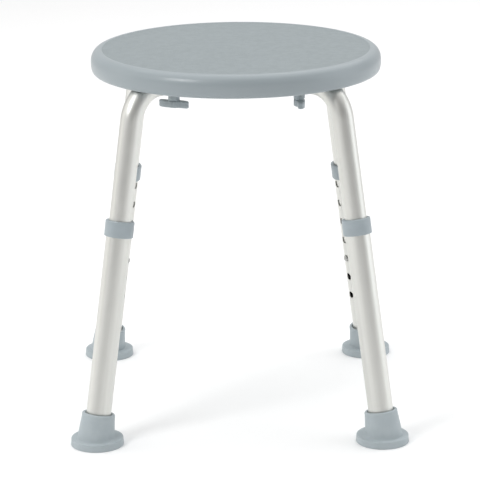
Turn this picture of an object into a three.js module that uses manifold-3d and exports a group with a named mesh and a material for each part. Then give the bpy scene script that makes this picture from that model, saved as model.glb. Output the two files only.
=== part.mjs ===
// Round shower stool: a hollow blow-moulded seat on two bent aluminium cross frames, with four
// telescoping legs held by spring snap buttons. Millimetres, +Z up. The origin is on the floor,
// under the centre of the seat; +X is the stool's right, and its front faces -Y.

import * as THREE from 'three';
import { mergeVertices } from 'three/addons/utils/BufferGeometryUtils.js';
import Module from 'manifold-3d';

const wasm = await Module();
wasm.setup();

// ---- Driving dimensions ----

const SEAT_HEIGHT = 431; // floor to the top of the seat, legs at the rest setting
const SEAT_DIAMETER = 340;
const SEAT_THICKNESS = 26;
const SEAT_WALL = 3;
const SEAT_TOP_ROUNDING = 11;
const SEAT_BOTTOM_ROUNDING = 4;
const SEAT_HOLLOW_CHAMFER = 1; // in the lower corner of the hollow
const SEAT_SIDE_BULGE = 1.2; // how far the side wall swells out between its roundings
const PANEL_RECESS = 0.5; // the textured sitting area lies this far below the smooth rim
const PANEL_INSET = 13; // width of the smooth rim round the textured area
const VENT_DIAMETER = 8;
const VENT_FROM_EDGE = 48; // from the seat's edge, midway between two frame arms
const VENT_COUNT = 4;

const FOOT_SPREAD = 66; // the legs' axes meet the floor this far outside the seat's edge
const LEG_LEAN = THREE.MathUtils.degToRad(10.25);

const FRAME_TUBE_DIAMETER = 25.4;
const FRAME_TUBE_WALL = 1.2;
const BEND_RADIUS = 42; // to the tube's centre line
const FLAT_HEIGHT = 14.5; // of each frame where the two cross
const FLAT_MARGIN = 3.2; // flat length beyond the other frame's sides
const FLAT_BLEND_LENGTH = 26; // along which the round tube becomes flat
const FLAT_SPREAD = 1.6; // above 1 this makes the pressed faces flatter and the sides rounder
const FRAME_END_BELOW_BUTTON = 20;

const TELESCOPE_GAP = 0.4; // between the frame tube and the leg tube round it
const LEG_TUBE_WALL = 1.2;
const LEG_TUBE_LENGTH = 248;
const HOLE_PITCH = 25.4;
const HOLE_COUNT = 7;
const FIRST_HOLE_BELOW_TUBE_TOP = 22.5;
const BUTTON_HOLE = 5; // counted from the top: the hole that the button is in at rest
const HOLE_TWIST = THREE.MathUtils.degToRad(13); // holes face inwards, turned a little to the side

const COLLAR_WALL = 2;
const COLLAR_LENGTH = 18.5;
const COLLAR_LIP = 2.7; // thickness of the ring that covers the leg tube's end
const COLLAR_ROUNDING = 1.5;
const COLLAR_CHAMFER = 0.7; // round its lower edge

const TIP_HEIGHT = 37.5; // along the leg, from the floor to the socket's rim
const TIP_RIM_WALL = 4.3;
const TIP_FLARE = 2.4; // how much wider the socket is at its foot than at its rim
const TIP_FLOOR_THICKNESS = 9.5; // rubber under the tube, along the leg
const TIP_FLANGE_WIDTH = 9.2; // out from the socket's foot
const TIP_FLANGE_HEIGHT = 8.6;
const TIP_FLANGE_TAPER = 0.6; // how much narrower the flange is at its top than at its foot
const TIP_FLANGE_INSET = 2.8; // the flange sits this far nearer the centre than the leg's axis
const TIP_SOCKET_ROOT = 7; // where the leaning socket starts, inside the flange
const TIP_BEAD_HEIGHT = 4; // of the straight bands at the socket's foot and rim
const TIP_EDGE = 1; // rounding of the rubber's edges
const FOOT_WASHER_HOLE_DIAMETER = 8;

const BUTTON_DIAMETER = 7.2;
const BUTTON_PROTRUSION = 2.7; // beyond the outside of the leg tube
const BUTTON_SKIRT_RIM = 1.4;
const BUTTON_SKIRT_THICKNESS = 1;
const SPRING_WIDTH = 8;
const SPRING_THICKNESS = 0.8;
const SPRING_LENGTH = 38;
const SPRING_BEND_RADIUS = 2.4;

const SCREW_FROM_BEND = 25.9; // from the start of each bend, along the arm
const SCREW_DIAMETER = 6;
const SCREW_HEAD_RIM = 1.5;
const SCREW_HEAD_HEIGHT = 3;
const INSERT_WALL = 1.7;
const INSERT_COVER = 3.5; // seat material above each insert
const INSERT_SETBACK = 1; // from the frame to the insert's mouth
const SCREW_END_GAP = 1; // from the screw's end to the insert's end
const SCREW_POINT = 1; // chamfer at the screw's end
const WASHER_RIM = 4.5;
const WASHER_THICKNESS = 1.2;

const HANDLE_LENGTH = 37;
const HANDLE_WING_THICKNESS = 9;
const HANDLE_WING_HEIGHT = 7.9;
const HANDLE_WING_SWAY = 1.3; // how far each wing bows to its own side
const HANDLE_HUB_WALL = 1.8;
const HANDLE_HEIGHT = 15;
const HANDLE_FLOOR = 2.2; // plastic under the screw's head
const HANDLE_SQUARENESS = 0.6; // power that squares off the wings' round outline
const HANDLE_POINTS = 24; // along that outline

const GAP = 0.3; // between pieces that touch
const SLIDE_GAP = 0.1; // between the turning screw and its thread
const GROOVE_GAP = 0.5; // between the frames and the seat's grooves
const HOLE_GAP = 0.7; // between a screw or button and the hole it passes through

const SEAT_SIDES = 40;
const TUBE_SIDES = 16; // leg tubes
const TIP_SIDES = 16;
const FRAME_SIDES = 12;
const GROOVE_SIDES = 10;
const SMALL_SIDES = 12;
const HOLE_SIDES = 8;
const BEND_STEPS = 6;
const FLAT_STEPS = 3;
const ROUNDING_STEPS = 2;

// ---- Places worked out from them ----

const seatRadius = SEAT_DIAMETER / 2;
const seatUnderside = SEAT_HEIGHT - SEAT_THICKNESS;
const panelHeight = SEAT_HEIGHT - PANEL_RECESS;
const armHeight = seatUnderside; // the frames' centre lines lie in the seat's underside plane
const footCircle = seatRadius + FOOT_SPREAD;
const frameRadius = FRAME_TUBE_DIAMETER / 2;
const legBore = frameRadius + TELESCOPE_GAP;
const legRadius = legBore + LEG_TUBE_WALL;
// The widest round that fits inside the frame tube's many-sided bore.
const frameInside = (frameRadius - FRAME_TUBE_WALL) * Math.cos(Math.PI / FRAME_SIDES);
const buttonRadius = BUTTON_DIAMETER / 2;
const skirtHalf = buttonRadius + BUTTON_SKIRT_RIM;
const skirtOuter = Math.sqrt(frameInside ** 2 - skirtHalf ** 2) - GAP;
const skirtInner = skirtOuter - BUTTON_SKIRT_THICKNESS;

const bendAngle = Math.PI / 2 - LEG_LEAN;
const bendTangent = BEND_RADIUS * Math.tan(bendAngle / 2);
const armEnd = footCircle - armHeight * Math.tan(LEG_LEAN) - bendTangent;
const screwCircle = armEnd - SCREW_FROM_BEND;

const flatHalfWidth = (Math.PI * (FRAME_TUBE_DIAMETER - FLAT_HEIGHT)) / 4 + FLAT_HEIGHT / 2;
const flatHalfLength = flatHalfWidth + FLAT_MARGIN;
const upperFlatCentre = armHeight + frameRadius - FLAT_HEIGHT / 2;
const lowerFlatCentre = upperFlatCentre - FLAT_HEIGHT - GAP;

const washerBottomInTip = TIP_FLOOR_THICKNESS + GAP;
const legTubeBottom = washerBottomInTip + WASHER_THICKNESS + GAP;
const legTubeTop = legTubeBottom + LEG_TUBE_LENGTH;
const collarTop = legTubeTop + GAP + COLLAR_LIP;
const firstHole = legTubeTop - FIRST_HOLE_BELOW_TUBE_TOP;
const buttonPlace = firstHole - (BUTTON_HOLE - 1) * HOLE_PITCH;
const frameEnd = buttonPlace - FRAME_END_BELOW_BUTTON;

const screwRadius = SCREW_DIAMETER / 2;
const headRadius = screwRadius + SCREW_HEAD_RIM;
const insertRadius = screwRadius + SLIDE_GAP + INSERT_WALL;
const insertTop = panelHeight - INSERT_COVER;
const insertBottom = armHeight + frameRadius + INSERT_SETBACK;
const screwTop = insertTop - SCREW_END_GAP;

const tipRimRadius = legRadius + GAP + TIP_RIM_WALL;
const tipFootRadius = tipRimRadius + TIP_FLARE;
const tipFlangeRadius = tipFootRadius + TIP_FLANGE_WIDTH;

// Each frame joins two opposite legs, named here by their directions in degrees.
const frames = [
  { name: 'cross_frame_lower', azimuths: [45, 225], flatCentre: lowerFlatCentre },
  { name: 'cross_frame_upper', azimuths: [-45, 135], flatCentre: upperFlatCentre },
];

const legs = [
  { name: 'front_right', azimuth: -45, twist: 1 },
  { name: 'back_right', azimuth: 45, twist: -1 },
  { name: 'back_left', azimuth: 135, twist: 1 },
  { name: 'front_left', azimuth: 225, twist: -1 },
];

const screws = [
  { name: 'front_left', azimuth: 225, circle: screwCircle, turn: -27 },
  { name: 'front_right', azimuth: -45, circle: screwCircle, turn: 93 },
  { name: 'back_left', azimuth: 135, circle: screwCircle, turn: 48 },
  { name: 'back_right', azimuth: 45, circle: screwCircle, turn: -64 },
  { name: 'centre', azimuth: 0, circle: 0, turn: -29 },
].map((screw) => {
  const angle = THREE.MathUtils.degToRad(screw.azimuth);
  return { ...screw, x: screw.circle * Math.cos(angle), y: screw.circle * Math.sin(angle) };
});

const materials = {
  seat: new THREE.MeshStandardMaterial({ color: 0xa6b0b3, roughness: 0.55, metalness: 0 }),
  aluminium: new THREE.MeshStandardMaterial({ color: 0xd3d4d0, roughness: 0.35, metalness: 0.9 }),
  plastic: new THREE.MeshStandardMaterial({ color: 0xa3adb1, roughness: 0.45, metalness: 0 }),
  rubber: new THREE.MeshStandardMaterial({ color: 0x99a4a7, roughness: 0.65, metalness: 0 }),
  steel: new THREE.MeshStandardMaterial({ color: 0xb4b5b6, roughness: 0.3, metalness: 1 }),
  brass: new THREE.MeshStandardMaterial({ color: 0xb99f63, roughness: 0.4, metalness: 1 }),
};

// ---- Solid modelling helpers ----

/** The geometry as one welded triangle list with its faces pointing out. */
function closed(geometry) {
  const bare = new THREE.BufferGeometry();
  bare.setAttribute('position', geometry.getAttribute('position').clone());
  if (geometry.index) bare.setIndex(geometry.index.clone());
  const welded = mergeVertices(bare, 1e-4);
  const index = welded.index.array;
  const place = welded.getAttribute('position');
  const corners = [0, 1, 2].map(() => new THREE.Vector3());
  const faces = [];
  let volume = 0;
  for (let i = 0; i < index.length; i += 3) {
    const face = [index[i], index[i + 1], index[i + 2]];
    if (new Set(face).size < 3) continue;
    corners.forEach((corner, k) => corner.fromBufferAttribute(place, face[k]));
    volume += corners[0].dot(corners[1].clone().cross(corners[2]));
    faces.push(face);
  }
  welded.setIndex(faces.flatMap(([a, b, c]) => (volume < 0 ? [a, c, b] : [a, b, c])));
  return welded;
}

function toSolid(geometry) {
  const welded = closed(geometry);
  return new wasm.Manifold(
    new wasm.Mesh({
      numProp: 3,
      vertProperties: new Float32Array(welded.getAttribute('position').array),
      triVerts: new Uint32Array(welded.index.array),
    }),
  );
}

function toGeometry(solid) {
  const mesh = solid.getMesh();
  const geometry = new THREE.BufferGeometry();
  geometry.setAttribute('position', new THREE.BufferAttribute(new Float32Array(mesh.vertProperties), 3));
  geometry.setIndex(new THREE.BufferAttribute(new Uint32Array(mesh.triVerts), 1));
  return geometry;
}

/** The radius to give a many-sided bore so that its flats clear a round piece of this radius. */
function boreRadius(radius, clearance, sides = SMALL_SIDES) {
  return (radius + clearance) / Math.cos(Math.PI / sides);
}

/** A solid turned about Z from a profile of [radius, height] points. */
function turned(profile, sides = SMALL_SIDES) {
  const points = profile.map(([radius, height]) => new THREE.Vector2(radius, height));
  return closed(new THREE.LatheGeometry(points, sides).rotateX(Math.PI / 2));
}

/** A washer, tube or ring about Z. */
function ring(outer, inner, bottom, top, sides = SMALL_SIDES) {
  return turned([[inner, bottom], [outer, bottom], [outer, top], [inner, top], [inner, bottom]], sides);
}

/** A round bar about Z, used for pins and for drilling. */
function bar(radius, bottom, top, sides = SMALL_SIDES) {
  return turned([[0, bottom], [radius, bottom], [radius, top], [0, top]], sides);
}

/** Points of an arc in a [radius, height] profile, from one angle to another, in degrees. */
function arc(centreRadius, centreHeight, radius, from, to, steps = ROUNDING_STEPS) {
  return Array.from({ length: steps + 1 }, (_, i) => {
    const angle = THREE.MathUtils.degToRad(from + ((to - from) * i) / steps);
    return [centreRadius + radius * Math.cos(angle), centreHeight + radius * Math.sin(angle)];
  });
}

function circle(radius, sides) {
  return Array.from({ length: sides }, (_, i) => {
    const angle = (2 * Math.PI * i) / sides;
    return new THREE.Vector2(radius * Math.cos(angle), radius * Math.sin(angle));
  });
}

/** A path through chosen stations, with one extrusion step between each pair of them. */
class StationPath extends THREE.Curve {
  constructor(stations) {
    super();
    this.stations = stations;
  }

  getPoint(t, target = new THREE.Vector3()) {
    const last = this.stations.length - 1;
    const place = THREE.MathUtils.clamp(t, 0, 1) * last;
    const index = Math.min(Math.floor(place), last - 1);
    return target.lerpVectors(this.stations[index], this.stations[index + 1], place - index);
  }

  getUtoTmapping(u) {
    return u;
  }
}

// ---- Cross frames ----

/** Half of a frame's centre line in the XZ plane, from the leg's lower end up to the centre. */
function frameHalf() {
  const endRadius = footCircle - frameEnd * Math.sin(LEG_LEAN);
  const points = [new THREE.Vector3(endRadius, 0, frameEnd * Math.cos(LEG_LEAN))];
  for (let i = 0; i <= BEND_STEPS; i += 1) {
    const angle = LEG_LEAN + (bendAngle * i) / BEND_STEPS;
    points.push(
      new THREE.Vector3(
        armEnd + BEND_RADIUS * Math.cos(angle),
        0,
        armHeight - BEND_RADIUS + BEND_RADIUS * Math.sin(angle),
      ),
    );
  }
  for (let i = 0; i <= FLAT_STEPS; i += 1) {
    const fromCentre = flatHalfLength + FLAT_BLEND_LENGTH * (1 - i / FLAT_STEPS);
    points.push(new THREE.Vector3(fromCentre, 0, armHeight));
  }
  return points;
}

function frameStations() {
  const half = frameHalf();
  const other = half.map((point) => new THREE.Vector3(-point.x, 0, point.z)).reverse();
  return [...half, ...other];
}

function sweepAlongFrame(section) {
  const path = new StationPath(frameStations());
  return new THREE.ExtrudeGeometry(section, { steps: path.stations.length - 1, extrudePath: path });
}

/** Presses the tube flat near x = 0, so that it is FLAT_HEIGHT tall there about flatCentre. */
function pressFlat(geometry, flatCentre) {
  const place = geometry.getAttribute('position');
  for (let i = 0; i < place.count; i += 1) {
    const x = place.getX(i);
    const y = place.getY(i);
    const rise = place.getZ(i) - armHeight;
    const blendEnd = flatHalfLength + FLAT_BLEND_LENGTH;
    const part = 1 - THREE.MathUtils.smoothstep(Math.abs(x), flatHalfLength, blendEnd);
    if (part > 0) {
      const radius = Math.hypot(y, rise);
      const across = y / radius;
      const up = rise / radius;
      const halfHeight = FLAT_HEIGHT / 2 + radius - frameRadius;
      const spread = THREE.MathUtils.clamp(FLAT_SPREAD * across, -1, 1);
      const flatY = (flatHalfWidth - FLAT_HEIGHT / 2) * spread + halfHeight * across;
      const flatRise = flatCentre - armHeight + halfHeight * Math.sign(up) * Math.sqrt(Math.abs(up));
      place.setY(i, y + part * (flatY - y));
      place.setZ(i, armHeight + rise + part * (flatRise - rise));
    }
  }
  return geometry;
}

/** The frame's outside shape grown by a clearance, as a solid bar that cuts its groove. */
function frameEnvelope(flatCentre, growth) {
  const section = new THREE.Shape(circle(boreRadius(frameRadius, growth, GROOVE_SIDES), GROOVE_SIDES));
  return toSolid(pressFlat(sweepAlongFrame(section), flatCentre));
}

function crossFrame(flatCentre) {
  const section = new THREE.Shape(circle(frameRadius, FRAME_SIDES));
  section.holes.push(new THREE.Path(circle(frameRadius - FRAME_TUBE_WALL, FRAME_SIDES)));
  let solid = toSolid(pressFlat(sweepAlongFrame(section), flatCentre));
  const screwBore = boreRadius(screwRadius, HOLE_GAP, HOLE_SIDES);
  for (const side of [-1, 0, 1]) {
    const drill = bar(screwBore, seatUnderside - SEAT_THICKNESS, SEAT_HEIGHT, HOLE_SIDES);
    solid = solid.subtract(toSolid(drill.translate(side * screwCircle, 0, 0)));
  }
  return solid;
}

/** Which way a leg's button looks, about the leg's own axis. */
function buttonAngle(twist) {
  return Math.PI + twist * HOLE_TWIST;
}

/** Cuts a button hole at each of these places up a leg, through the near wall only. */
function drillButtonHoles(solid, places, angle, moveDrill) {
  const holeBore = boreRadius(buttonRadius, HOLE_GAP, HOLE_SIDES);
  return places.reduce((left, place) => {
    const drill = bar(holeBore, legRadius / 2, legRadius * 1.5, HOLE_SIDES).rotateY(Math.PI / 2);
    return left.subtract(toSolid(moveDrill(drill.rotateZ(angle).translate(0, 0, place))));
  }, solid);
}

/** Moves a geometry from a leg's own frame (+Z up the leg, +X outwards) into the stool's. */
function onLeg(geometry, azimuth) {
  return geometry
    .rotateY(-LEG_LEAN)
    .translate(footCircle, 0, 0)
    .rotateZ(THREE.MathUtils.degToRad(azimuth));
}

// ---- Seat ----

/** The seat's outside, as a half section from the underside's centre to the top's centre. */
function seatProfile() {
  const side = seatRadius - SEAT_SIDE_BULGE;
  const panelEdge = seatRadius - PANEL_INSET;
  const low = SEAT_BOTTOM_ROUNDING;
  const high = SEAT_TOP_ROUNDING;
  return [
    [0, seatUnderside],
    ...arc(side - low, seatUnderside + low, low, -90, 0),
    [seatRadius, seatUnderside + SEAT_THICKNESS / 2],
    ...arc(side - high, SEAT_HEIGHT - high, high, 0, 90, 2 * ROUNDING_STEPS),
    [panelEdge + PANEL_RECESS, SEAT_HEIGHT],
    [panelEdge, panelHeight],
    [0, panelHeight],
  ];
}

/** The air inside the hollow seat, before the grooves and bosses stand in it. */
function seatHollow() {
  const outer = seatRadius - SEAT_SIDE_BULGE - SEAT_WALL;
  const top = panelHeight - SEAT_WALL;
  const bottom = seatUnderside + SEAT_WALL;
  const rounding = SEAT_TOP_ROUNDING - SEAT_WALL;
  return [
    [0, bottom],
    [outer - SEAT_HOLLOW_CHAMFER, bottom],
    [outer, bottom + SEAT_HOLLOW_CHAMFER],
    ...arc(outer - rounding, top - rounding, rounding, 0, 90),
    [0, top],
  ];
}

function seatShell() {
  let hollow = toSolid(turned(seatHollow(), SEAT_SIDES));
  let seat = toSolid(turned(seatProfile(), SEAT_SIDES));
  for (const { azimuths, flatCentre } of frames) {
    const turn = [0, 0, azimuths[0]];
    hollow = hollow.subtract(frameEnvelope(flatCentre, GROOVE_GAP + SEAT_WALL).rotate(turn));
    seat = seat.subtract(frameEnvelope(flatCentre, GROOVE_GAP).rotate(turn));
  }
  const pocket = boreRadius(insertRadius, GAP);
  for (const { x, y } of screws) {
    const boss = bar(pocket + SEAT_WALL, seatUnderside, SEAT_HEIGHT);
    hollow = hollow.subtract(toSolid(boss.translate(x, y, 0)));
    const socket = bar(pocket, seatUnderside, insertTop + GAP);
    seat = seat.subtract(toSolid(socket.translate(x, y, 0)));
  }
  seat = seat.subtract(hollow);
  for (let i = 0; i < VENT_COUNT; i += 1) {
    const vent = bar(VENT_DIAMETER / 2, seatUnderside - SEAT_WALL, seatUnderside + 2 * SEAT_WALL);
    const angle = (2 * Math.PI * i) / VENT_COUNT;
    seat = seat.subtract(toSolid(vent.translate(seatRadius - VENT_FROM_EDGE, 0, 0).rotateZ(angle)));
  }
  return toGeometry(seat);
}

// ---- Pieces on each leg, in the leg's own frame: +Z up the leg, +X outwards ----

function legTube(angle) {
  const tube = toSolid(ring(legRadius, legBore, legTubeBottom, legTubeTop, TUBE_SIDES));
  const holes = Array.from({ length: HOLE_COUNT }, (_, i) => firstHole - i * HOLE_PITCH);
  return toGeometry(drillButtonHoles(tube, holes, angle, (drill) => drill));
}

function legCollar() {
  const outer = legRadius + GAP + COLLAR_WALL;
  const bottom = collarTop - COLLAR_LENGTH;
  const sleeveBore = boreRadius(legRadius, GAP);
  const lipBore = boreRadius(frameRadius, GAP);
  const shelf = legTubeTop + GAP;
  return turned([
    [sleeveBore, bottom],
    [outer - COLLAR_CHAMFER, bottom],
    [outer, bottom + COLLAR_CHAMFER],
    ...arc(outer - COLLAR_ROUNDING, collarTop - COLLAR_ROUNDING, COLLAR_ROUNDING, 0, 90),
    [lipBore, collarTop],
    [lipBore, shelf],
    [sleeveBore, shelf],
    [sleeveBore, bottom],
  ]);
}

/** The rubber tip: a socket round the leg, leaning with it, on a flange that lies flat. */
function footTip() {
  const socket = turned([
    [0, TIP_SOCKET_ROOT],
    [tipFootRadius, TIP_SOCKET_ROOT],
    [tipFootRadius, TIP_SOCKET_ROOT + TIP_BEAD_HEIGHT],
    [tipRimRadius, TIP_HEIGHT - TIP_BEAD_HEIGHT],
    [tipRimRadius, TIP_HEIGHT - TIP_EDGE],
    [tipRimRadius - TIP_EDGE, TIP_HEIGHT],
    [0, TIP_HEIGHT],
  ], TIP_SIDES);
  const flangeTop = tipFlangeRadius - TIP_FLANGE_TAPER;
  const flange = turned([
    [0, 0],
    [tipFlangeRadius - TIP_EDGE, 0],
    [tipFlangeRadius, TIP_EDGE],
    [flangeTop, TIP_FLANGE_HEIGHT - TIP_EDGE],
    [flangeTop - TIP_EDGE, TIP_FLANGE_HEIGHT],
    [0, TIP_FLANGE_HEIGHT],
  ], TIP_SIDES);
  const boreSize = boreRadius(legRadius, GAP, TIP_SIDES);
  const bore = bar(boreSize, TIP_FLOOR_THICKNESS, TIP_HEIGHT + GAP, TIP_SIDES);
  const axisAtFlange = footCircle - (TIP_FLANGE_HEIGHT / 2) * Math.tan(LEG_LEAN);
  const flangeSolid = toSolid(flange.translate(axisAtFlange - TIP_FLANGE_INSET, 0, 0));
  return toGeometry(flangeSolid.add(toSolid(onLeg(socket, 0))).subtract(toSolid(onLeg(bore, 0))));
}

function footWasher() {
  const hole = FOOT_WASHER_HOLE_DIAMETER / 2;
  return ring(legRadius, hole, washerBottomInTip, washerBottomInTip + WASHER_THICKNESS);
}

/** The button's dome and shank point along +X, with its skirt inside the frame tube. */
function snapButton() {
  const crown = legRadius + BUTTON_PROTRUSION;
  const button = turned([
    [0, skirtInner],
    [skirtHalf, skirtInner],
    [skirtHalf, skirtOuter],
    [buttonRadius, skirtOuter],
    ...arc(0, crown - buttonRadius, buttonRadius, 0, 90, 3),
  ]);
  return button.rotateY(Math.PI / 2);
}

/** A leaf bent to a V: one leaf behind the button, the other against the tube's far side. */
function snapSpring() {
  const nearSide = skirtInner - GAP;
  const farSide = -Math.sqrt(frameInside ** 2 - (SPRING_WIDTH / 2) ** 2) + GAP;
  const middle = (nearSide + farSide) / 2;
  const bend = SPRING_BEND_RADIUS;
  const bendInside = bend - SPRING_THICKNESS;
  const straight = SPRING_LENGTH - bend;
  const half = SPRING_WIDTH / 2;
  const strip = new THREE.Shape();
  strip.moveTo(nearSide, -half);
  strip.lineTo(nearSide, half);
  strip.lineTo(middle + bend, straight);
  strip.absarc(middle, straight, bend, 0, Math.PI, false);
  strip.lineTo(farSide, -half);
  strip.lineTo(farSide + SPRING_THICKNESS, -half);
  strip.lineTo(middle - bendInside, straight);
  strip.absarc(middle, straight, bendInside, Math.PI, 0, true);
  strip.lineTo(nearSide - SPRING_THICKNESS, half);
  strip.lineTo(nearSide - SPRING_THICKNESS, -half);
  const options = { depth: SPRING_WIDTH, bevelEnabled: false, curveSegments: ROUNDING_STEPS };
  return new THREE.ExtrudeGeometry(strip, options).translate(0, 0, -half).rotateX(Math.PI / 2);
}

// ---- Screws, their handles and what they hold ----

function threadedInsert() {
  return ring(insertRadius, boreRadius(screwRadius, SLIDE_GAP), insertBottom, insertTop);
}

function screwWasher(tubeUnderside) {
  const top = tubeUnderside - GAP;
  return ring(screwRadius + WASHER_RIM, boreRadius(screwRadius, GAP), top - WASHER_THICKNESS, top);
}

function handleTop(tubeUnderside) {
  return tubeUnderside - WASHER_THICKNESS - 2 * GAP;
}

function screwStud(tubeUnderside) {
  const bottom = handleTop(tubeUnderside) - HANDLE_HEIGHT + HANDLE_FLOOR;
  return turned([
    [0, bottom],
    [headRadius, bottom],
    [headRadius, bottom + SCREW_HEAD_HEIGHT],
    [screwRadius, bottom + SCREW_HEAD_HEIGHT],
    [screwRadius, screwTop - SCREW_POINT],
    [screwRadius - SCREW_POINT, screwTop],
    [0, screwTop],
  ]);
}

/** The wings' outline: a rounded bar whose two ends bow to opposite sides. */
function wingOutline() {
  const squared = (value) => Math.sign(value) * Math.abs(value) ** HANDLE_SQUARENESS;
  return Array.from({ length: HANDLE_POINTS }, (_, i) => {
    const angle = (2 * Math.PI * i) / HANDLE_POINTS;
    const along = squared(Math.cos(angle));
    const across = squared(Math.sin(angle));
    const sway = HANDLE_WING_SWAY * Math.sin(Math.PI * along);
    return new THREE.Vector2((along * HANDLE_LENGTH) / 2, (across * HANDLE_WING_THICKNESS) / 2 + sway);
  });
}

function tHandle(tubeUnderside) {
  const top = handleTop(tubeUnderside);
  const bottom = top - HANDLE_HEIGHT;
  const hubRadius = headRadius + GAP + HANDLE_HUB_WALL;
  const headBottom = bottom + HANDLE_FLOOR - GAP;
  const headTop = bottom + HANDLE_FLOOR + SCREW_HEAD_HEIGHT + GAP;
  const headPocket = boreRadius(headRadius, GAP);
  const shankPocket = boreRadius(screwRadius, GAP);
  const options = { depth: HANDLE_WING_HEIGHT, bevelEnabled: false };
  const wing = new THREE.ExtrudeGeometry(new THREE.Shape(wingOutline()), options);
  const hub = turned([[0, bottom], [hubRadius, bottom], [hubRadius, top], [0, top]]);
  return toGeometry(
    toSolid(wing.translate(0, 0, bottom))
      .add(toSolid(hub))
      .subtract(toSolid(bar(headPocket, headBottom, headTop)))
      .subtract(toSolid(bar(shankPocket, headBottom, top + GAP))),
  );
}

// ---- Assembly ----

const stool = new THREE.Group();

function addPiece(parent, name, geometry, material) {
  const mesh = new THREE.Mesh(closed(geometry), material);
  mesh.name = name;
  parent.add(mesh);
  return mesh;
}

function addFrame({ name, azimuths, flatCentre }) {
  let solid = crossFrame(flatCentre).rotate([0, 0, azimuths[0]]);
  for (const leg of legs.filter(({ azimuth }) => azimuths.includes(azimuth))) {
    const toStool = (drill) => onLeg(drill, leg.azimuth);
    solid = drillButtonHoles(solid, [buttonPlace], buttonAngle(leg.twist), toStool);
  }
  addPiece(stool, name, toGeometry(solid), materials.aluminium);
}

function addLeg({ name, azimuth, twist }) {
  const turn = new THREE.Group();
  turn.rotation.z = THREE.MathUtils.degToRad(azimuth);
  stool.add(turn);
  const leg = new THREE.Group();
  leg.position.x = footCircle;
  leg.rotation.y = -LEG_LEAN;
  turn.add(leg);
  addPiece(leg, `leg_tube_${name}`, legTube(buttonAngle(twist)), materials.aluminium);
  addPiece(leg, `leg_collar_${name}`, legCollar(), materials.plastic);
  addPiece(turn, `foot_tip_${name}`, footTip(), materials.rubber);
  addPiece(leg, `foot_washer_${name}`, footWasher(), materials.steel);
  const lock = new THREE.Group();
  lock.position.z = buttonPlace;
  lock.rotation.z = buttonAngle(twist);
  leg.add(lock);
  addPiece(lock, `snap_button_${name}`, snapButton(), materials.steel);
  addPiece(lock, `snap_spring_${name}`, snapSpring(), materials.steel);
}

function addScrew({ name, circle, x, y, turn }) {
  const tubeUnderside = circle > 0 ? armHeight - frameRadius : lowerFlatCentre - FLAT_HEIGHT / 2;
  const screw = new THREE.Group();
  screw.position.set(x, y, 0);
  screw.rotation.z = THREE.MathUtils.degToRad(turn);
  stool.add(screw);
  addPiece(screw, `threaded_insert_${name}`, threadedInsert(), materials.brass);
  addPiece(screw, `screw_washer_${name}`, screwWasher(tubeUnderside), materials.steel);
  addPiece(screw, `screw_stud_${name}`, screwStud(tubeUnderside), materials.steel);
  addPiece(screw, `t_handle_${name}`, tHandle(tubeUnderside), materials.plastic);
}

addPiece(stool, 'seat_shell', seatShell(), materials.seat);
frames.forEach(addFrame);
legs.forEach(addLeg);
screws.forEach(addScrew);

export default stool;
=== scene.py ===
# %% [markdown]
# # A round shower stool
#
# The stool is a hollow grey plastic seat, screwed to two bent aluminium tubes that cross under it.
# A longer tube slides on each of the four ends, so each leg can be set to its own height, and a
# spring button locks it. Everything here is in metres, with the floor at z = 0.
#
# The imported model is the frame: it says how big each part is, where it goes and how it moves.
# Its meshes are coarse, so this file makes a fine surface for each part in the same place, and
# gives each one the finish of its real material.

import math

import bpy
import numpy as np
from mathutils import Matrix


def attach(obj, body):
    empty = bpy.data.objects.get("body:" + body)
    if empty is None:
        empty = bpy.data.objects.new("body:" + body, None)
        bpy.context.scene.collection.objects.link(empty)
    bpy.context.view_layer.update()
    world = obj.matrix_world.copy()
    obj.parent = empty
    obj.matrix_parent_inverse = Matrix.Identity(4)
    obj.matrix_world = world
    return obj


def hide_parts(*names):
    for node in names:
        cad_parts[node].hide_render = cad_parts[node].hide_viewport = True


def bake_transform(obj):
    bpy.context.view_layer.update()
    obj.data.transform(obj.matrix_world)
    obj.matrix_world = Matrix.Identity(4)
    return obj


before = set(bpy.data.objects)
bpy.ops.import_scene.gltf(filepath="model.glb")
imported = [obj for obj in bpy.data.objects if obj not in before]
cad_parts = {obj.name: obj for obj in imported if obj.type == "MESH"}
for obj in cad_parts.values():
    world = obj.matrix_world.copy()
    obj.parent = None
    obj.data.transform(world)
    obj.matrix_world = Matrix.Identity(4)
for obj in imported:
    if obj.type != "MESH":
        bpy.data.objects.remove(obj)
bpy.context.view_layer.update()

# %% [markdown]
# ## Turning arrays into surfaces
#
# A designer can model each part by hand, with extrusions and loops. Here each surface is worked
# out instead: a formula gives a whole grid of points at once, so a size can be changed in one
# place and the shape stays smooth. One part often needs a few such grids, whose edges meet. They
# are made separately and then welded where their points lie at the same place.

# %% Grids and welding
MM = 0.001


def grid_quads(rows, columns):
    """Numbers the points of a grid row by row, and gives each cell's four corners."""
    number = np.arange(rows * columns).reshape(rows, columns)
    corners = [number[:-1, :-1], number[:-1, 1:], number[1:, 1:], number[1:, :-1]]
    return np.stack(corners, axis=-1)


def weld(points, quads):
    """Gives points at the same place one number. A cell with two equal corners becomes a
    triangle, and a cell with more is dropped. Also returns each face's corners before welding."""
    _, first, number = np.unique(
        np.round(points, 6), axis=0, return_index=True, return_inverse=True
    )
    joined = number.ravel()[quads]
    same = joined == np.roll(joined, -1, axis=1)
    whole = ~same.any(axis=1)
    faces, sources = [joined[whole]], [quads[whole]]
    for corner in range(4):
        rows = same[:, corner] & (same.sum(axis=1) == 1)
        faces.append(np.delete(joined[rows], corner, axis=1))
        sources.append(np.delete(quads[rows], corner, axis=1))
    used = np.unique(np.concatenate([group.ravel() for group in faces]))
    return points[first[used]], [np.searchsorted(used, group) for group in faces], sources


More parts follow.
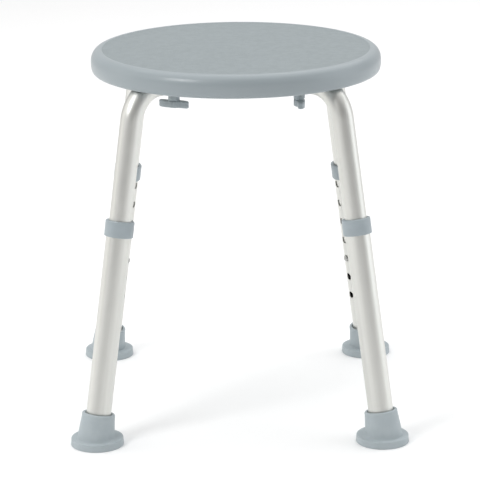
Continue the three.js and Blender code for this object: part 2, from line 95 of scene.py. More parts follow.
def volume(points, faces):
    """Six times the enclosed volume: the sum, over each face's triangles, of the first corner
    dotted with the cross product of the other two. It is negative if the faces point inwards."""
    total = 0.0
    for group in faces:
        for k in range(1, group.shape[1] - 1):
            a, b, c = points[group[:, 0]], points[group[:, k]], points[group[:, k + 1]]
            total += np.einsum("ij,ij->", a, np.cross(b, c))
    return total


# %% From grids to a piece that rides on the frame
SHARP = math.radians(40)


def make_piece(name, sheets, material, body, nodes):
    """Welds the sheets into one closed mesh with its faces outwards, and puts it on the frame.
    A sheet is (points, uv) or (points, uv, cells to keep). Points and uv are in millimetres."""
    points, uvs, quads, count = [], [], [], 0
    for sheet in sheets:
        place, uv = sheet[:2]
        rows, columns = place.shape[:2]
        cells = grid_quads(rows, columns) + count
        quads.append(cells[sheet[2]] if len(sheet) > 2 else cells.reshape(-1, 4))
        points.append(place.reshape(-1, 3))
        uvs.append(uv.reshape(-1, 2))
        count += rows * columns
    places, faces, sources = weld(np.concatenate(points) * MM, np.concatenate(quads))
    if volume(places, faces) < 0:
        faces = [group[:, ::-1] for group in faces]
        sources = [group[:, ::-1] for group in sources]
    mesh = bpy.data.meshes.new(name)
    mesh.from_pydata(places.tolist(), [], [face for group in faces for face in group.tolist()])
    layer = mesh.uv_layers.new(name="UVMap")
    corners = np.concatenate([group.ravel() for group in sources])
    layer.data.foreach_set("uv", (np.concatenate(uvs)[corners] * MM).ravel().astype(np.float32))
    mesh.polygons.foreach_set("use_smooth", np.ones(len(mesh.polygons), bool))
    mesh.set_sharp_from_angle(angle=SHARP)
    mesh.materials.append(material)
    piece = bpy.data.objects.new(name, mesh)
    bpy.context.scene.collection.objects.link(piece)
    if body:
        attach(piece, body)
    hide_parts(*nodes)
    return piece


def report(title, pieces):
    triangles = sum(len(p.vertices) - 2 for piece in pieces for p in piece.data.polygons)
    print(f"{title}: {len(pieces)} pieces, {triangles} triangles")


# %% Profiles
def rounded(corners, radii, steps=5):
    """A line through the corners with each one rounded: the arc of that radius which touches
    both sides. It starts and ends at the first and last corner."""
    corners = np.asarray(corners, float)
    line = [corners[:1]]
    for before, corner, after, radius in zip(corners, corners[1:], corners[2:], radii):
        back, on = before - corner, after - corner
        back, on = back / np.linalg.norm(back), on / np.linalg.norm(on)
        if radius == 0:
            line.append(corner[None])
            continue
        half = math.acos(np.clip(back @ on, -1, 1)) / 2
        middle = corner + (back + on) / np.linalg.norm(back + on) * radius / math.sin(half)
        start = corner + back * radius / math.tan(half) - middle
        end = corner + on * radius / math.tan(half) - middle
        turn = math.pi - 2 * half
        t = np.linspace(0, 1, steps + 1)[:, None]
        arc = (np.sin((1 - t) * turn) * start + np.sin(t * turn) * end) / math.sin(turn)
        line.append(middle + arc)
    line.append(corners[-1:])
    return np.concatenate(line)


def along(line):
    """The distance from the line's first point to each of its points."""
    steps = np.linalg.norm(np.diff(line, axis=0), axis=1)
    return np.concatenate([[0], np.cumsum(steps)])


def turned(profile, sides=64):
    """A lathe: each profile point, at (radius, height), is carried round the Z axis."""
    angle = np.linspace(0, 2 * math.pi, sides + 1)
    radius, height = np.asarray(profile, float).T
    x = radius[:, None] * np.cos(angle)
    y = radius[:, None] * np.sin(angle)
    z = np.broadcast_to(height[:, None], x.shape)
    v = along(np.asarray(profile, float))[:, None]
    u = radius.max() * angle[None, :]
    return np.stack([x, y, z], -1), np.stack(np.broadcast_arrays(u, v), -1)

# %% [markdown]
# ## Sizes
#
# These repeat the model's own sizes, in millimetres, so that each fine surface fits where its
# coarse one is. The legs stand on a circle and lean in towards the seat. It is easiest to shape
# what is on a leg as if the leg stood upright at the origin, and to lean it and carry it out to
# its place afterwards.

# %% The model's sizes
SEAT_TOP, SEAT_UNDER, SEAT_RADIUS = 431.0, 405.0, 170.0
LEAN = math.radians(10.25)
FOOT_CIRCLE = 236.0
FRAME_R, TUBE_WALL = 12.7, 1.2
ARM_Z, BEND_R = 405.0, 42.0
BEND_TURN = math.pi / 2 - LEAN
ARM_END = FOOT_CIRCLE - ARM_Z * math.tan(LEAN) - BEND_R * math.tan(BEND_TURN / 2)
LEG_BORE, LEG_R = 13.1, 14.3
LEG_BOTTOM, LEG_TOP = 11.3, 259.3
BUTTON_S = 135.2
FRAME_END_S = 115.2
HOLE_PITCH, HOLE_TWIST = 25.4, math.radians(13)
LEGS = {"front_right": (-45, 1), "back_right": (45, -1), "back_left": (135, 1), "front_left": (225, -1)}


def about_z(points, angle):
    """The points turned about the Z axis."""
    x, y, z = np.moveaxis(points, -1, 0)
    c, s = math.cos(angle), math.sin(angle)
    return np.stack([x * c - y * s, x * s + y * c, z], -1)


def on_leg(points, azimuth):
    """From a leg's own frame, with Z up the leg and X outwards, to the stool's: lean the top
    inwards about Y, move out to the foot circle, and turn to the leg's corner."""
    x, y, z = np.moveaxis(points, -1, 0)
    c, s = math.cos(LEAN), math.sin(LEAN)
    leaned = np.stack([x * c - z * s + FOOT_CIRCLE, y, x * s + z * c], -1)
    return about_z(leaned, math.radians(azimuth))


print("arms run straight to", round(ARM_END, 2), "mm from the centre")

# %% [markdown]
# ## Finishes
#
# Every finish is drawn by nodes, from what the real surface is and how it was made. Patterns
# read the piece's own object coordinates in metres, or its UV map where lines follow a tube, so
# a pattern's size in millimetres is known. One function turns the hex colours, which are written
# as a screen shows them, to the linear values that light adds up in. Another adds one node.

# %% Helpers for materials
def linear(code):
    """A screen colour such as #a0b0c0 as linear light: each channel over 255, to the power 2.4
    after the offset that the sRGB curve has, and a straight line near black."""
    channel = np.array([int(code[i : i + 2], 16) for i in (1, 3, 5)]) / 255
    light = np.where(channel <= 0.04045, channel / 12.92, ((channel + 0.055) / 1.055) ** 2.4)
    return (*light.tolist(), 1.0)


def add(tree, kind, inputs=None, **settings):
    """Adds one node. An input is set to a value, or linked if it is another node's output."""
    node = tree.nodes.new("ShaderNode" + kind)
    for key, value in settings.items():
        setattr(node, key, value)
    for key, value in (inputs or {}).items():
        if isinstance(value, bpy.types.NodeSocket):
            tree.links.new(value, node.inputs[key])
        else:
            node.inputs[key].default_value = value
    return node


def new_material(name, **surface):
    """A material with one Principled shader, whose even values are set on its own sockets."""
    material = bpy.data.materials.new(name)
    material.use_nodes = True
    tree = material.node_tree
    shader = tree.nodes["Principled BSDF"]
    for key, value in surface.items():
        shader.inputs[key.replace("_", " ")].default_value = value
    return material, tree, shader


def wire(tree, source, socket):
    tree.links.new(source, socket)


def per_metre(size_mm):
    """The scale that makes one cell or wave of a pattern this many millimetres wide."""
    return 1000.0 / size_mm


# %% [markdown]
# ### Blow-moulded polyethylene, for the seat
#
# The seat is a hot tube of grey polyethylene blown out against a mould. Where the mould is
# polished the plastic has a soft satin gloss, as on the rim. The sitting area copies a pebbled
# texture cut into the mould, so that wet skin doesn't slip. The pebbles are small rounded
# swellings, so a Voronoi pattern with smooth cells serves as their height, and a finer noise
# roughens them. A mask keeps them inside the rim. The real grain is about 1.5 mm, and it is
# drawn at 2.2 mm so that it still shows from a few metres away. The same mask paints the panel
# a darker grey than the rim, though both are one plastic: that is painted shade.

# %% Seat plastic
PANEL_EDGE = 157.0
PEBBLE_MM = 2.2

seat_plastic, tree, shader = new_material("blow_moulded_polyethylene", IOR=1.51)
place = add(tree, "TexCoord").outputs["Object"]
axes = add(tree, "SeparateXYZ", {0: place}).outputs
level = add(tree, "CombineXYZ", {"X": axes["X"], "Y": axes["Y"]}).outputs[0]
reach = add(tree, "VectorMath", {0: level}, operation="LENGTH").outputs["Value"]
edge = {"Value": reach, "From Min": (PANEL_EDGE + 0.2) * MM, "From Max": (PANEL_EDGE - 0.6) * MM}
within = add(tree, "MapRange", edge, interpolation_type="SMOOTHSTEP").outputs[0]
above = add(tree, "Math", {0: axes["Z"], 1: (SEAT_TOP - 2) * MM}, operation="GREATER_THAN").outputs[0]
panel = add(tree, "Math", {0: within, 1: above}, operation="MULTIPLY").outputs[0]

cells = {"Vector": place, "Scale": per_metre(PEBBLE_MM), "Smoothness": 0.6}
pebbles = add(tree, "TexVoronoi", cells, feature="SMOOTH_F1").outputs["Distance"]
grit = add(tree, "TexNoise", {"Vector": place, "Scale": per_metre(1.0), "Detail": 3.0}).outputs[0]
grain = add(tree, "Math", {0: grit, 1: 0.4, 2: pebbles}, operation="MULTIPLY_ADD").outputs[0]
grain = add(tree, "Math", {0: grain, 1: panel}, operation="MULTIPLY").outputs[0]
skin = add(tree, "TexNoise", {"Vector": place, "Scale": per_metre(2.0), "Detail": 4.0}).outputs[0]
waves = add(tree, "TexNoise", {"Vector": place, "Scale": per_metre(45.0), "Detail": 1.0}).outputs[0]
bump = add(tree, "Bump", {"Height": waves, "Distance": 0.25 * MM, "Strength": 0.5}).outputs[0]
bump = add(tree, "Bump", {"Height": skin, "Distance": 0.02 * MM, "Normal": bump}).outputs[0]
bump = add(tree, "Bump", {"Height": grain, "Distance": 0.28 * MM, "Normal": bump}).outputs[0]
wire(tree, bump, shader.inputs["Normal"])

# Colour: the panel gets darker greys than the rim's #969fa3, though both are one plastic. The darker panel
# is painted shade, with a random mottle in it.
mottle = add(tree, "TexNoise", {"Vector": place, "Scale": per_metre(7.0), "Detail": 5.0}).outputs[0]
shaded_panel_mottle = add(tree, "ValToRGB", {"Fac": mottle})
shaded_panel_mottle.color_ramp.elements[0].position, shaded_panel_mottle.color_ramp.elements[0].color = 0.35, linear("#868f92")
shaded_panel_mottle.color_ramp.elements[1].position, shaded_panel_mottle.color_ramp.elements[1].color = 0.65, linear("#8d9699")
colours = {0: panel, 6: linear("#969fa3"), 7: shaded_panel_mottle.outputs[0]}
tint = add(tree, "Mix", colours, data_type="RGBA").outputs[2]
wire(tree, tint, shader.inputs["Base Color"])
worn = add(tree, "MapRange", {"Value": mottle, "To Min": 0.27, "To Max": 0.35}).outputs[0]
gloss = add(tree, "MapRange", {"Value": panel, "To Min": worn, "To Max": 0.52}).outputs[0]
wire(tree, gloss, shader.inputs["Roughness"])
print("pebbles", PEBBLE_MM, "mm wide, 0.28 mm deep")

# %% [markdown]
# ### Anodised aluminium, for the frames and legs
#
# The tubes are drawn through a die, which leaves very fine lines along them, then etched and
# anodised clear. That gives a pale satin metal: the highlights are wide and soft, and the lines
# only break them up a little. Noise that is squeezed round the tube and stretched along it
# draws the lines. It reads the UV map, where one direction goes round and the other along.
# Real lines are a few hundredths of a millimetre apart, and they are drawn 0.5 mm apart to show.

# %% Tube metal
tube_metal, tree, shader = new_material("clear_anodised_aluminium", Metallic=1.0)
lay = add(tree, "UVMap", uv_map="UVMap").outputs[0]
stretch = {"Vector": lay, "Scale": (per_metre(0.5), per_metre(60.0), 1.0)}
streak_place = add(tree, "Mapping", stretch).outputs[0]
lines = add(tree, "TexNoise", {"Vector": streak_place, "Scale": 1.0, "Detail": 3.0}).outputs[0]
wide = {"Vector": lay, "Scale": (per_metre(6.0), per_metre(400.0), 1.0)}
wide_place = add(tree, "Mapping", wide).outputs[0]
bands = add(tree, "TexNoise", {"Vector": wide_place, "Scale": 1.0, "Detail": 2.0}).outputs[0]
place = add(tree, "TexCoord").outputs["Object"]
etch = add(tree, "TexNoise", {"Vector": place, "Scale": per_metre(0.8), "Detail": 2.0}).outputs[0]
cloud = add(tree, "TexNoise", {"Vector": place, "Scale": per_metre(35.0), "Detail": 3.0}).outputs[0]
bump = add(tree, "Bump", {"Height": lines, "Distance": 0.012 * MM}).outputs[0]
bump = add(tree, "Bump", {"Height": etch, "Distance": 0.008 * MM, "Normal": bump}).outputs[0]
wire(tree, bump, shader.inputs["Normal"])
metal = add(tree, "ValToRGB", {"Fac": bands})
metal.color_ramp.elements[0].position, metal.color_ramp.elements[0].color = 0.3, linear("#d6d6d1")
metal.color_ramp.elements[1].position, metal.color_ramp.elements[1].color = 0.7, linear("#dededa")
wire(tree, metal.outputs[0], shader.inputs["Base Color"])
satin = add(tree, "MapRange", {"Value": cloud, "To Min": 0.36, "To Max": 0.46}).outputs[0]
wire(tree, satin, shader.inputs["Roughness"])

# %% [markdown]
# ### Moulded plastic, rubber, steel and brass, for the small parts
#
# The collars and handles are injection-moulded polypropylene, whose mould was spark-eroded to a
# fine even grain. The tips are a rubbery plastic, duller and a little cloudy. The screws and
# washers are steel with a thin zinc plate, which is bright but never perfectly even, and each
# washer's yellow passivation gives it a straw tint.

# %% Small parts
def grained(name, dark, light, grain_mm, depth_mm, low, high, **surface):
    """A surface with a fine grain for its height, and clouds for its colour and roughness."""
    material, tree, shader = new_material(name, **surface)
    place = add(tree, "TexCoord").outputs["Object"]
    grain = {"Vector": place, "Scale": per_metre(grain_mm), "Detail": 4.0}
    rough = add(tree, "TexNoise", grain).outputs[0]
    cloud = {"Vector": place, "Scale": per_metre(14.0), "Detail": 5.0}
    clouds = add(tree, "TexNoise", cloud).outputs[0]
    ramp = add(tree, "ValToRGB", {"Fac": clouds})
    ramp.color_ramp.elements[0].position, ramp.color_ramp.elements[0].color = 0.3, linear(dark)
    ramp.color_ramp.elements[1].position, ramp.color_ramp.elements[1].color = 0.7, linear(light)
    wire(tree, ramp.outputs[0], shader.inputs["Base Color"])
    bump = add(tree, "Bump", {"Height": rough, "Distance": depth_mm * MM}).outputs[0]
    wire(tree, bump, shader.inputs["Normal"])
    gloss = add(tree, "MapRange", {"Value": clouds, "To Min": low, "To Max": high}).outputs[0]
    wire(tree, gloss, shader.inputs["Roughness"])
    return material


handle_plastic = grained(
    "moulded_polypropylene", "#9da7ac", "#a3adb2", 0.7, 0.03, 0.36, 0.44, IOR=1.49
)
tip_rubber = grained(
    "moulded_thermoplastic_rubber", "#a7b1b5", "#afb8bc", 0.9, 0.05, 0.52, 0.64, IOR=1.5
)
zinc_steel = grained(
    "zinc_plated_steel", "#a9a9a6", "#bdbdba", 0.6, 0.01, 0.26, 0.38, Metallic=1.0
)
yellow_steel = grained(
    "yellow_passivated_steel", "#8d7f5c", "#b5a67e", 0.6, 0.01, 0.28, 0.4, Metallic=1.0
)
spring_metal = grained("spring_steel", "#77797b", "#8b8d8e", 0.5, 0.01, 0.24, 0.34, Metallic=1.0)
brass = grained("turned_brass", "#b08d45", "#c8a75a", 0.5, 0.01, 0.26, 0.38, Metallic=1.0)
print(len(bpy.data.materials), "materials")

# %% [markdown]
# ## The seat
#
# The seat's outside is one skin. Above, it is a lathe: flat textured panel, a half-millimetre
# step, and a rim that rolls down to the side in a soft quarter of a squared ellipse. Below, the
# two frame tubes lie half sunk in crossed grooves, so that side isn't round. There, four strips
# follow the grooves' arms, four sectors fill between them, and all of them share the outer
# circle's angles with the lathe. Cutting the grooves with a boolean would be quicker to write,
# but it leaves long thin triangles that shade badly.

# %% The seat's underside
GROOVE_R = FRAME_R + 0.5
LIP = 1.6
LOW_ROUND = 4.0
FLAT_EDGE = SEAT_RADIUS - 1.2 - LOW_ROUND
ARMS = np.radians([45, 135, 225, 315])


def groove_section():
    """Half a groove from its crown to the flat beside it: a quarter circle about the underside's
    plane, which a small outward arc turns into the flat. Gives (offset, height) pairs."""
    up = np.linspace(math.pi / 2, math.asin(LIP / GROOVE_R), 9)
    bow = np.stack([GROOVE_R * np.cos(up), GROOVE_R * np.sin(up)], -1)
    start = bow[-1, 0]
    lip = np.linspace(math.pi, 1.5 * math.pi, 5)[1:]
    turn = np.stack([start + LIP + LIP * np.cos(lip), LIP + LIP * np.sin(lip)], -1)
    return np.concatenate([bow, turn])


half = groove_section()
LAND = half[-1, 0]
offset = np.concatenate([-half[::-1, 0], half[1:, 0]])
crown = np.concatenate([half[::-1, 1], half[1:, 1]])

# the share of the way out at which each row of the arms and sectors lies
ROWS = np.concatenate([np.linspace(0, 0.62, 12), np.linspace(0.64, 1, 22)])
land_run = math.sqrt(FLAT_EDGE**2 - LAND**2)
row_reach = LAND + (land_run - LAND) * ROWS


def arm_strip(turn):
    """One arm of the grooves. Each line starts on the diagonal where it meets the next arm's
    line, and ends on the circle where the edge starts to round. Its height is the section's,
    which shrinks to nothing where the tube bends down out of the seat."""
    start, stop = np.abs(offset), np.sqrt(FLAT_EDGE**2 - offset**2)
    x = start[None] + (stop - start)[None] * ((row_reach - LAND) / (land_run - LAND))[:, None]
    fall = np.sqrt(np.clip((BEND_R + GROOVE_R) ** 2 - np.clip(x - ARM_END, 0, None) ** 2, 0, None))
    depth = np.clip((fall - BEND_R) / GROOVE_R, 0, 1)
    z = SEAT_UNDER + crown[None] * depth
    y = np.broadcast_to(offset[None], x.shape)
    uv = np.stack([x, y], -1)
    return about_z(np.stack([x, y, z], -1), turn), uv


def sector(turn, columns=21):
    """The flat between two arms: circles about the middle, each from one arm to the next. The
    innermost is the point where the two arms' edges meet."""
    circle = np.hypot(row_reach, LAND)[:, None]
    edge = np.arctan2(LAND, row_reach)[:, None]
    angle = edge + (math.pi / 2 - 2 * edge) * np.linspace(0, 1, columns)[None]
    x, y = circle * np.cos(angle), circle * np.sin(angle)
    flat = np.stack([x, y, np.full_like(x, SEAT_UNDER)], -1)
    return about_z(flat, turn), np.stack([x, y], -1)


# %% [markdown]
# Four vents let air in and out of the hollow seat. A round hole in a grid of four-sided cells is
# made as a patch: a block of cells is left out, its outline is joined to a circle by rings that
# turn gradually from one to the other, and the hole's wall goes on from the circle.

# %% Round holes
def outline(grid, top, bottom, left, right):
    """The points round a block of a grid, in order, with the first one again at the end."""
    return np.concatenate(
        [
            grid[top, left : right + 1],
            grid[top + 1 : bottom + 1, right],
            grid[bottom, left:right][::-1],
            grid[top:bottom, left][::-1],
        ]
    )


def hole_patch(ring, centre, radius, depth, to_space, close=False):
    """From a block's outline to a round hole, in flat coordinates: each ring is a share of the
    way from the outline to the circle. Then the wall goes down to a depth, and a closed hole
    shrinks to its middle. to_space places (across, along, depth) in the stool."""
    way = ring - centre
    round_way = way / np.linalg.norm(way, axis=1, keepdims=True)
    rows = [(way * (1 - t) + round_way * (radius + 0.3) * t, 0.0) for t in (0, 0.35, 0.7, 1)]
    rows += [(round_way * radius, 0.3), (round_way * radius, depth)]
    if close:
        rows += [(round_way * radius * share, depth) for share in (0.5, 0.0)]
    flat = np.stack([way_row + centre for way_row, _ in rows])
    deep = np.stack([np.full(len(ring), down) for _, down in rows])
    return to_space(flat[..., 0], flat[..., 1], deep), flat


def keep_all_but(shape, blocks):
    """Marks a grid's cells to keep: all but the blocks (top, bottom, left, right)."""
    keep = np.ones((shape[0] - 1, shape[1] - 1), bool)
    for top, bottom, left, right in blocks:
        keep[top:bottom, left:right] = False
    return keep


# %% The seat
VENT_REACH, VENT_R = 122.0, 4.0

sheets = []
for turn in ARMS:
    sheets.append(arm_strip(turn))
    place, uv = sector(turn)
    middle = int(np.argmin(np.abs(np.hypot(row_reach, LAND) - VENT_REACH)))
    block = (middle - 2, middle + 2, 8, 12)
    sheets.append((place, uv, keep_all_but(place.shape, [block])))
    ring = outline(place[..., :2], *block)
    centre = about_z(np.array([VENT_REACH, 0.0, 0.0]), turn + math.pi / 4)[:2]
    sheets.append(
        hole_patch(
            ring, centre, VENT_R, 9.0, lambda a, b, d: np.stack([a, b, SEAT_UNDER + d], -1), close=True
        )
    )


def squared_quarter(start, size, power, from_side, steps=12):
    """A quarter of a squared ellipse: cosine and sine, each to the power 2 / power, times the
    two half sizes. from_side says whether it runs up from the side or down from the top."""
    t = np.linspace(0, math.pi / 2, steps + 1)
    line = np.stack([np.cos(t), np.sin(t)], -1) ** (2 / power) * size + start
    return line if from_side else line[::-1]


WIDEST_Z = 417.0
low = squared_quarter((FLAT_EDGE, WIDEST_Z), (SEAT_RADIUS - FLAT_EDGE, SEAT_UNDER - WIDEST_Z), 3.0, False)
high = squared_quarter((SEAT_RADIUS - 12.2, WIDEST_Z), (12.2, SEAT_TOP - WIDEST_Z), 2.2, True)
step = [[PANEL_EDGE + 0.6, SEAT_TOP], [PANEL_EDGE + 0.3, SEAT_TOP - 0.08], [PANEL_EDGE, SEAT_TOP - 0.5]]
inner = [[r, SEAT_TOP - 0.5] for r in (154, 145, 130, 105, 75, 45, 20, 0)]
profile = np.concatenate([low, high[1:], step, inner])

arm_angles = np.arctan2(offset, np.sqrt(FLAT_EDGE**2 - offset**2))
edge_angle = math.atan2(LAND, land_run)
gap_angles = edge_angle + (math.pi / 2 - 2 * edge_angle) * np.linspace(0, 1, 21)[1:]
one_arm = np.concatenate([arm_angles, gap_angles])
angles = np.concatenate([one_arm[:-1] + turn for turn in ARMS] + [[ARMS[0] + arm_angles[0] + 2 * math.pi]])
radius, level = profile[:, :1], profile[:, 1:]
x, y, z = np.broadcast_arrays(radius * np.cos(angles), radius * np.sin(angles), level)
top = np.stack([x, y, z], -1)
sheets.append((top, top[..., :2].copy()))

seat = make_piece("seat", sheets, seat_plastic, "root", ["seat_shell"])
report("seat", [seat])

# %% [markdown]
# ## The cross frames
#
# Each frame is one aluminium tube, bent down at both ends, and squeezed to an oval in the middle
# so that the two can cross within the thickness of one. A section carried along a path makes
# it: the path is a straight leg, an arc, an arm and the mirror of these, and the section goes
# from a circle to a squared ellipse over the pressed part.

# %% Sections carried along a path
def carry(path, up, across, section):
    """Puts a section (station, point, 2) on each station of a path: the station's place, plus
    its up direction times the first number, plus its across direction times the second."""
    return path[:, None] + section[..., :1] * up[:, None] + section[..., 1:] * across[:, None]


FLAT_HEIGHT = 14.5
FLAT_HALF_WIDTH = math.pi * (2 * FRAME_R - FLAT_HEIGHT) / 4 + FLAT_HEIGHT / 2
FLAT_HALF_LENGTH = FLAT_HALF_WIDTH + 3.2
FLAT_BLEND = 26.0
UPPER_FLAT_Z = ARM_Z + FRAME_R - FLAT_HEIGHT / 2
LOWER_FLAT_Z = UPPER_FLAT_Z - FLAT_HEIGHT - 0.3


def frame_path():
    """The centre line in the XZ plane and its outward direction, from one leg's lower end to the
    other's. The arc's points are its centre plus its radius along the direction."""
    end = np.array([FOOT_CIRCLE - FRAME_END_S * math.sin(LEAN), FRAME_END_S * math.cos(LEAN)])
    turn = np.linspace(LEAN, math.pi / 2, 25)
    out = np.stack([np.cos(turn), np.sin(turn)], -1)
    bend = np.array([ARM_END, ARM_Z - BEND_R]) + BEND_R * out
    leg = end + (bend[0] - end) * np.linspace(0, 1, 9)[:-1, None]
    arm_x = np.concatenate([np.linspace(ARM_END, 50, 9)[1:-1], np.linspace(50, 0, 27)])
    arm = np.stack([arm_x, np.full_like(arm_x, ARM_Z)], -1)
    xz = np.concatenate([leg, bend, arm])
    way = np.concatenate([np.repeat(out[:1], len(leg), 0), out, np.repeat(out[-1:], len(arm), 0)])
    xz = np.concatenate([xz, (xz * [-1, 1])[-2::-1]])
    way = np.concatenate([way, (way * [-1, 1])[-2::-1]])
    lift = lambda flat: np.stack([flat[:, 0], np.zeros(len(flat)), flat[:, 1]], -1)
    return lift(xz), lift(way)


def tube_skin(radius, flat_z, sides=48):
    """One wall of a frame tube. Over the pressed length the section's half width, half height
    and power go smoothly from a circle's to the flat's, and its middle moves to flat_z."""
    path, up = frame_path()
    t = np.clip((FLAT_HALF_LENGTH + FLAT_BLEND - np.abs(path[:, 0])) / FLAT_BLEND, 0, 1)
    pressed = (t * t * (3 - 2 * t))[:, None]
    pressed[path[:, 2] < ARM_Z - 1] = 0
    inset = radius - FRAME_R
    wide = radius + pressed * (FLAT_HALF_WIDTH + inset - radius)
    tall = radius + pressed * (FLAT_HEIGHT / 2 + inset - radius)
    power = 2 / (2 + 1.0 * pressed)
    angle = np.linspace(0, 2 * math.pi, sides + 1)[None]
    c, s = np.cos(angle), np.sin(angle)
    rise = np.sign(c) * np.abs(c) ** power * tall + pressed * (flat_z - ARM_Z)
    side = np.sign(s) * np.abs(s) ** power * wide
    across = np.broadcast_to([0.0, 1.0, 0.0], path.shape)
    skin = carry(path, up, across, np.stack([rise, side], -1))
    uv = np.stack(np.broadcast_arrays(angle * radius, along(path)[:, None]), -1)
    return skin, uv


def end_ring(outer, inner, row):
    """The flat ring that joins the outer wall's row to the inner wall's."""
    return np.stack([outer[0][row], inner[0][row]]), np.stack([outer[1][row], inner[1][row]])


# %% Both frames
frame_pieces = []
for name, turn, flat_z in (("lower", 45, LOWER_FLAT_Z), ("upper", -45, UPPER_FLAT_Z)):
    outer = tube_skin(FRAME_R, flat_z)
    inner = tube_skin(FRAME_R - TUBE_WALL, flat_z)
    walls = [outer, (inner[0][:, ::-1], inner[1][:, ::-1])]
    walls += [end_ring(inner, outer, 0), end_ring(outer, inner, -1)]
    walls = [(about_z(place, math.radians(turn)), uv) for place, uv in walls]
    node = "cross_frame_" + name
    frame_pieces.append(
        make_piece(node + "_tube", walls, tube_metal, "root", [node])
    )
report("cross frames", frame_pieces)

# %% [markdown]
# ## The legs
#
# Each leg is a wider tube with seven button holes down its inner side. The holes are the patches
# used for the vents, worked out on the unrolled tube: across is the distance round it and along
# is the distance up. Rolling it up again puts each point at its radius and angle. Both walls get
# the same patches, and the holes' walls join them.

# %% Leg tubes
HOLE_R = 4.3
HOLES = LEG_TOP - 22.5 - HOLE_PITCH * np.arange(7)
WINDOW = 6.6


def stations(marks, steps):
    """Points from mark to mark, with that many steps between each pair."""
    return np.concatenate(
        [np.linspace(a, b, n + 1)[:-1] for a, b, n in zip(marks, marks[1:], steps)] + [marks[-1:]]
    )


def leg_tube(twist):
    facing = math.pi + twist * HOLE_TWIST
    round_half = math.pi * LEG_R
    across = stations([-round_half, -WINDOW, WINDOW, round_half], [22, 8, 22])
    windows = np.sort(np.concatenate([HOLES - WINDOW, HOLES + WINDOW]))
    marks = np.concatenate([[LEG_BOTTOM], windows, [LEG_TOP]])
    steps = [4] + [8, 2] * 6 + [8, 3]
    up = stations(marks, steps)
    a, s = np.meshgrid(across, up)

    def roll(a, s, depth):
        angle = facing + a / LEG_R
        return np.stack([(LEG_R - depth) * np.cos(angle), (LEG_R - depth) * np.sin(angle), s], -1)

    starts = np.searchsorted(up, np.sort(HOLES) - WINDOW - 0.01)
    blocks = [(row, row + 8, 22, 30) for row in starts]
    flat = np.stack([a, s], -1)
    keep = keep_all_but(a.shape, blocks)
    thick = LEG_R - LEG_BORE
    sheets = [(roll(a, s, 0.0), flat, keep)]
    inside = roll(a, s, thick)
    sheets.append((inside[:, ::-1], flat[:, ::-1], keep[:, ::-1]))
    outside = roll(a, s, 0.0)
    for row in (0, -1):
        pair = (outside, inside) if row else (inside, outside)
        sheets.append((np.stack([pair[0][row], pair[1][row]]), np.stack([flat[row], flat[row]])))
    for block, hole in zip(blocks, np.sort(HOLES)):
        ring, centre = outline(flat, *block), np.array([0.0, hole])
        sheets.append(hole_patch(ring, centre, HOLE_R, thick - 0.3, roll))
        back = lambda a, s, depth: roll(a, s, thick - depth)
        place, uv = hole_patch(ring, centre, HOLE_R, 0.3, back)
        sheets.append((place[:5, ::-1], uv[:5, ::-1]))
    return sheets


def lean(sheets, azimuth):
    return [(on_leg(sheet[0], azimuth), *sheet[1:]) for sheet in sheets]


tubes = []
for name, (azimuth, twist) in LEGS.items():
    node = "leg_tube_" + name
    tubes.append(
        make_piece(
            node + "_wall",
            lean(leg_tube(twist), azimuth),
            tube_metal,
            "leg_" + name,
            [node],
        )
    )
report("leg tubes", tubes)

# %% [markdown]
# ## Collars and tips
#
# A plastic collar covers each leg tube's sharp end and centres the frame's tube in it. It is a
# plain lathe with small roundings. The rubber tip is two shapes in one moulding: a round flange
# that lies flat on the floor, and a socket that leans with the leg. Both are rings of points in
# the same directions, so a smooth curve from a flange ring to a socket ring, with its corner
# point where the two surfaces would meet, gives the moulded fillet between them.

# %% Collars
COLLAR_R, COLLAR_SLEEVE, COLLAR_MOUTH = 16.6, 14.6, 13.0
COLLAR_LENGTH, COLLAR_LIP, COLLAR_GAP = 18.5, 2.7, 0.3
COLLAR_BOTTOM = LEG_TOP + COLLAR_GAP + COLLAR_LIP - COLLAR_LENGTH

collar_line = [
    (COLLAR_SLEEVE, 0.0),
    (COLLAR_R, 0.0),
    (COLLAR_R, COLLAR_LENGTH),
    (COLLAR_MOUTH, COLLAR_LENGTH),
    (COLLAR_MOUTH, COLLAR_LENGTH - COLLAR_LIP),
    (COLLAR_SLEEVE, COLLAR_LENGTH - COLLAR_LIP),
    (COLLAR_SLEEVE, 0.0),
]
collar_line = rounded(collar_line, [0.7, 1.5, 0.4, 0.2, 0.2]) + [0, COLLAR_BOTTOM]
collars = []
for name, (azimuth, _) in LEGS.items():
    node = "leg_collar_" + name
    sheets = lean([turned(collar_line)], azimuth)
    collars.append(make_piece(node + "_cap", sheets, handle_plastic, "leg_" + name, [node]))
report("collars", collars)

# %% Foot tips
FLANGE_R, FLANGE_TOP, FLANGE_H = 30.5, 29.9, 8.6
FLANGE_INSET = 2.8
FLANGE_AXIS = FOOT_CIRCLE - FLANGE_H / 2 * math.tan(LEAN) - FLANGE_INSET
SOCKET_FOOT, SOCKET_RIM, SOCKET_TOP = 21.3, 18.9, 37.5
SOCKET_BORE, SOCKET_FLOOR = 14.65, 9.5
TREAD_DEPTH = 0.9
TREAD_RINGS = (5.0, 10.5, 16.0, 21.5)
FILLET_START = (24.6, FLANGE_H - 0.35)


def bend_between(start, corner, end, steps=7):
    """Rows along a quadratic curve: it leaves start towards corner and reaches end from it."""
    t = np.linspace(0, 1, steps + 1)[:, None, None]
    return (1 - t) ** 2 * start + 2 * t * (1 - t) * corner + t**2 * end


